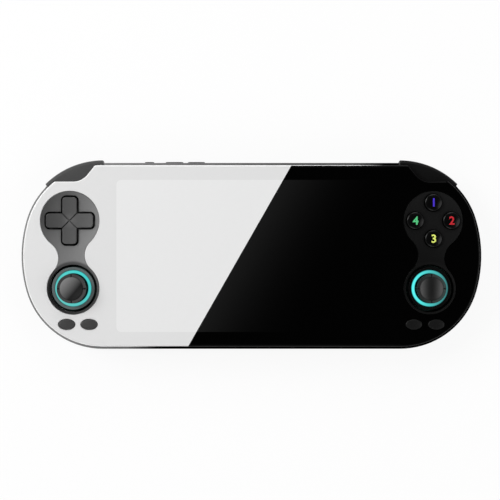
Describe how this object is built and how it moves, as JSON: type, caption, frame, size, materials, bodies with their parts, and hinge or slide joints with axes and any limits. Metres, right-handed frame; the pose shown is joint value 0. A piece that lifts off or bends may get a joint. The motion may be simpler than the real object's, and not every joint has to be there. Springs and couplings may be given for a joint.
{
  "type": "handheld game console",
  "caption": "Wide handheld game console with a centre display, D-pad, face buttons, lit thumbsticks, oval keys, bumpers and triggers in a case with bowed ends.",
  "frame": {"origin": "middle of the box round the whole console, on the surface it lies on, back down", "axes": "+X to the player's right, +Y towards the shoulder edge, +Z out of the display"},
  "size_m": [0.188, 0.0772, 0.0222],
  "materials": {
    "front_cover": "smooth moulded cover, pale on the left of a slanting line and black on the right",
    "lens": "clear lens printed behind, pale on the left of a slanting line and black on the right",
    "display": "unlit display",
    "graphite": "fine satin graphite",
    "black": "satin black",
    "stick": "soft-touch stick",
    "light": "lit light guide",
    "membrane": "silicone",
    "board": "circuit board",
    "steel": "plain steel",
    "shield": "stamped can",
    "cell": "foil pouch",
    "module": "moulded"
  },
  "bodies": {
    "case": {"front_shell": "front_cover", "front_lens": "lens", "display_panel": "display", "mid_frame": "graphite", "rear_shell": "graphite", "case_screws": "steel", "left_control_plate": "graphite", "right_control_plate": "black", "dpad_membrane": "membrane", "face_button_membrane": "membrane", "left_key_membrane": "membrane", "right_key_membrane": "membrane", "left_stick_housing": "module", "right_stick_housing": "module", "left_light_ring": "light", "left_stick_collar": "graphite", "left_light_board": "board", "right_light_ring": "light", "right_stick_collar": "black", "right_light_board": "board", "left_shoulder_pin": "steel", "right_shoulder_pin": "steel", "left_shoulder_switches": "steel", "right_shoulder_switches": "steel", "top_key_board": "board", "left_control_board": "board", "right_control_board": "board", "main_board": "board", "board_screws": "steel", "processor_shield": "shield", "battery": "cell", "left_speaker": "black", "right_speaker": "black", "usb_socket": "steel", "headphone_socket": "black", "card_socket": "steel"},
    "dpad_rocker": {"dpad_pivot": "module"},
    "dpad": {"dpad": "graphite"},
    "left_stick_rocker": {"left_stick_yoke": "module"},
    "left_stick": {"left_stick_stem": "stick", "left_stick_cap": "stick"},
    "right_stick_rocker": {"right_stick_yoke": "module"},
    "right_stick": {"right_stick_stem": "stick", "right_stick_cap": "stick"},
    "face_button_top": {"face_button_top": "black"},
    "face_button_right": {"face_button_right": "black"},
    "face_button_bottom": {"face_button_bottom": "black"},
    "face_button_left": {"face_button_left": "black"},
    "left_outer_key": {"left_outer_key": "graphite"},
    "left_inner_key": {"left_inner_key": "graphite"},
    "right_inner_key": {"right_inner_key": "black"},
    "right_outer_key": {"right_outer_key": "black"},
    "power_key": {"power_key": "graphite"},
    "volume_up_key": {"volume_up_key": "graphite"},
    "volume_down_key": {"volume_down_key": "graphite"},
    "left_bumper": {"left_bumper": "graphite"},
    "left_trigger": {"left_trigger": "graphite"},
    "right_bumper": {"right_bumper": "black"},
    "right_trigger": {"right_trigger": "black"}
  },
  "joints": [
    {"name": "dpad_rock_vertical", "type": "hinge", "parent": "case", "child": "dpad_rocker", "pos_m": [-0.0739, 0.01375, 0.0124], "axis": [1, 0, 0], "range_deg": [-4, 4], "stiffness_Nm_per_rad": 0.06, "deforming": ["dpad_membrane"]},
    {"name": "dpad_rock_horizontal", "type": "hinge", "parent": "dpad_rocker", "child": "dpad", "pos_m": [-0.0739, 0.01375, 0.0124], "axis": [0, 1, 0], "range_deg": [-4, 4], "stiffness_Nm_per_rad": 0.06, "deforming": ["dpad_membrane"]},
    {"name": "left_stick_tilt_vertical", "type": "hinge", "parent": "case", "child": "left_stick_rocker", "pos_m": [-0.0725, -0.0138, 0.011], "axis": [1, 0, 0], "range_deg": [-16, 16], "stiffness_Nm_per_rad": 0.03},
    {"name": "left_stick_tilt_horizontal", "type": "hinge", "parent": "left_stick_rocker", "child": "left_stick", "pos_m": [-0.0725, -0.0138, 0.011], "axis": [0, 1, 0], "range_deg": [-16, 16], "stiffness_Nm_per_rad": 0.03},
    {"name": "right_stick_tilt_vertical", "type": "hinge", "parent": "case", "child": "right_stick_rocker", "pos_m": [0.0725, -0.0138, 0.011], "axis": [1, 0, 0], "range_deg": [-16, 16], "stiffness_Nm_per_rad": 0.03},
    {"name": "right_stick_tilt_horizontal", "type": "hinge", "parent": "right_stick_rocker", "child": "right_stick", "pos_m": [0.0725, -0.0138, 0.011], "axis": [0, 1, 0], "range_deg": [-16, 16], "stiffness_Nm_per_rad": 0.03},
    {"name": "face_button_top_press", "type": "slide", "parent": "case", "child": "face_button_top", "axis": [0, 0, -1], "range_m": [0, 0.001], "stiffness_N_per_m": 600, "deforming": ["face_button_membrane"]},
    {"name": "face_button_right_press", "type": "slide", "parent": "case", "child": "face_button_right", "axis": [0, 0, -1], "range_m": [0, 0.001], "stiffness_N_per_m": 600, "deforming": ["face_button_membrane"]},
    {"name": "face_button_bottom_press", "type": "slide", "parent": "case", "child": "face_button_bottom", "axis": [0, 0, -1], "range_m": [0, 0.001], "stiffness_N_per_m": 600, "deforming": ["face_button_membrane"]},
    {"name": "face_button_left_press", "type": "slide", "parent": "case", "child": "face_button_left", "axis": [0, 0, -1], "range_m": [0, 0.001], "stiffness_N_per_m": 600, "deforming": ["face_button_membrane"]},
    {"name": "left_outer_key_press", "type": "slide", "parent": "case", "child": "left_outer_key", "axis": [0, 0, -1], "range_m": [0, 0.0006], "stiffness_N_per_m": 800, "deforming": ["left_key_membrane"]},
    {"name": "left_inner_key_press", "type": "slide", "parent": "case", "child": "left_inner_key", "axis": [0, 0, -1], "range_m": [0, 0.0006], "stiffness_N_per_m": 800, "deforming": ["left_key_membrane"]},
    {"name": "right_inner_key_press", "type": "slide", "parent": "case", "child": "right_inner_key", "axis": [0, 0, -1], "range_m": [0, 0.0006], "stiffness_N_per_m": 800, "deforming": ["right_key_membrane"]},
    {"name": "right_outer_key_press", "type": "slide", "parent": "case", "child": "right_outer_key", "axis": [0, 0, -1], "range_m": [0, 0.0006], "stiffness_N_per_m": 800, "deforming": ["right_key_membrane"]},
    {"name": "power_key_press", "type": "slide", "parent": "case", "child": "power_key", "axis": [0, -1, 0], "range_m": [0, 0.00035], "stiffness_N_per_m": 1500},
    {"name": "volume_up_key_press", "type": "slide", "parent": "case", "child": "volume_up_key", "axis": [0, -1, 0], "range_m": [0, 0.00035], "stiffness_N_per_m": 1500},
    {"name": "volume_down_key_press", "type": "slide", "parent": "case", "child": "volume_down_key", "axis": [0, -1, 0], "range_m": [0, 0.00035], "stiffness_N_per_m": 1500},
    {"name": "left_bumper_press", "type": "hinge", "parent": "case", "child": "left_bumper", "pos_m": [-0.0582, 0.0334, 0.011], "axis": [0, 0, 1], "range_deg": [0, 2], "stiffness_Nm_per_rad": 0.3},
    {"name": "left_trigger_press", "type": "hinge", "parent": "case", "child": "left_trigger", "pos_m": [-0.0582, 0.0334, 0.011], "axis": [0, 0, 1], "range_deg": [0, 2], "stiffness_Nm_per_rad": 0.3},
    {"name": "right_bumper_press", "type": "hinge", "parent": "case", "child": "right_bumper", "pos_m": [0.0582, 0.0334, 0.011], "axis": [0, 0, -1], "range_deg": [0, 2], "stiffness_Nm_per_rad": 0.3},
    {"name": "right_trigger_press", "type": "hinge", "parent": "case", "child": "right_trigger", "pos_m": [0.0582, 0.0334, 0.011], "axis": [0, 0, -1], "range_deg": [0, 2], "stiffness_Nm_per_rad": 0.3}
  ]
}
